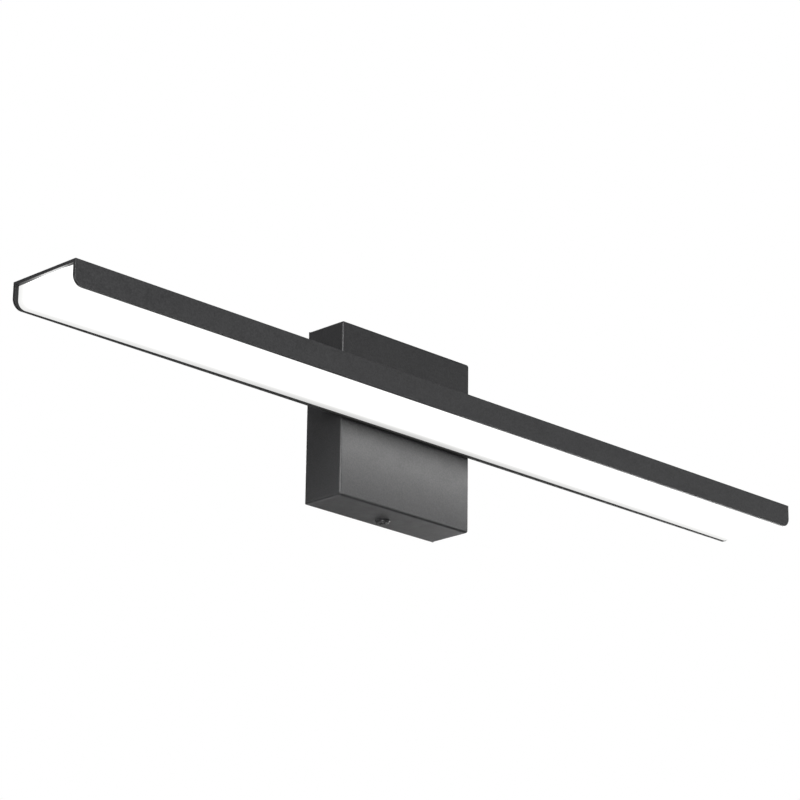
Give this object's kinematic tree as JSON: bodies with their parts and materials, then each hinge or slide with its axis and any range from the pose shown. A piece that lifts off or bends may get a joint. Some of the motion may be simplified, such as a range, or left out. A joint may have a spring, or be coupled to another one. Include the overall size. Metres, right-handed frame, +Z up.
{
  "type": "vanity light bar",
  "caption": "Slim linear wall light: a black channel with an opal diffuser, carried on a square canopy that slides over a wall bracket.",
  "frame": {"origin": "centre of the wall bracket's junction box screw pattern, on the wall plane", "axes": "+X along the bar, to the right as seen from the room; +Y into the wall; +Z up"},
  "size_m": [0.61, 0.085, 0.1138],
  "materials": {
    "bar_coat": "satin black powder coat",
    "canopy_coat": "satin black powder coat",
    "screw_black": "black oxide",
    "opal": "opal, lit from inside",
    "zinc": "zinc plated",
    "ground_green": "green",
    "raw_aluminium": "mill finish",
    "brass": "plain",
    "board_white": "white solder mask",
    "board_green": "green solder mask",
    "led_package": "phosphor",
    "case_white": "moulded",
    "block_white": "moulded",
    "ferrite": "taped winding",
    "can_sleeve": "shrink sleeve",
    "component_black": "moulded",
    "thermal_tape": "matte",
    "rubber_black": "matte",
    "lead_black": "smooth",
    "lead_white": "smooth",
    "lead_green": "smooth",
    "lead_red": "smooth"
  },
  "bodies": {
    "wall_bracket": {"wall_bracket": "zinc", "bracket_ground_screw": "ground_green"},
    "fixture": {"canopy": "canopy_coat", "canopy_lock_nuts": "zinc", "driver_studs": "zinc", "terminal_studs": "zinc", "earth_stud": "zinc", "driver_case": "case_white", "driver_lid": "case_white", "driver_board": "board_green", "driver_transformer": "ferrite", "driver_capacitors": "can_sleeve", "driver_choke": "component_black", "driver_small_parts": "component_black", "driver_nuts": "zinc", "driver_washers": "zinc", "terminal_body": "block_white", "terminal_inserts": "brass", "terminal_screws": "zinc", "terminal_nuts": "zinc", "live_lead": "lead_black", "neutral_lead": "lead_white", "earth_lead": "lead_green", "earth_lug": "zinc", "earth_nut": "zinc", "led_plus_lead": "lead_red", "led_minus_lead": "lead_black", "cable_grommet": "rubber_black", "spacer_plate": "canopy_coat", "bar_mount_screws": "zinc", "clinch_nuts": "zinc", "bar_housing": "bar_coat", "diffuser": "opal", "diffuser_side_front": "opal", "diffuser_side_rear": "opal", "led_tray": "raw_aluminium", "tray_screws": "zinc", "thermal_tapes": "thermal_tape", "led_board_front_left": "board_white", "led_board_front_right": "board_white", "led_board_rear_left": "board_white", "led_board_rear_right": "board_white", "leds_front_left": "led_package", "leds_front_right": "led_package", "leds_rear_left": "led_package", "leds_rear_right": "led_package", "board_jumpers": "lead_white"},
    "lock_washer_bottom": {"lock_washer_bottom": "screw_black"},
    "lock_screw_bottom": {"lock_screw_bottom": "screw_black"},
    "lock_washer_top": {"lock_washer_top": "screw_black"},
    "lock_screw_top": {"lock_screw_top": "screw_black"}
  },
  "joints": [
    {"name": "canopy_pull_off", "type": "slide", "parent": "wall_bracket", "child": "fixture", "axis": [0, -1, 0], "range_m": [0, 0.05]},
    {"name": "bottom_screw_travel", "type": "slide", "parent": "fixture", "child": "lock_washer_bottom", "axis": [0, 0, -1], "range_m": [0, 0.0028]},
    {"name": "bottom_screw_turn", "type": "hinge", "parent": "lock_washer_bottom", "child": "lock_screw_bottom", "pos_m": [0, -0.0105, -0.0555], "axis": [0, 0, -1], "range_deg": [0, 1440]},
    {"name": "top_screw_travel", "type": "slide", "parent": "fixture", "child": "lock_washer_top", "axis": [0, 0, 1], "range_m": [0, 0.0028]},
    {"name": "top_screw_turn", "type": "hinge", "parent": "lock_washer_top", "child": "lock_screw_top", "pos_m": [0, -0.0105, 0.0555], "axis": [0, 0, 1], "range_deg": [0, 1440]}
  ],
  "couplings": [
    {"joint": "bottom_screw_turn", "follows": "bottom_screw_travel", "rad_per_m": 8976},
    {"joint": "top_screw_turn", "follows": "top_screw_travel", "rad_per_m": 8976}
  ]
}
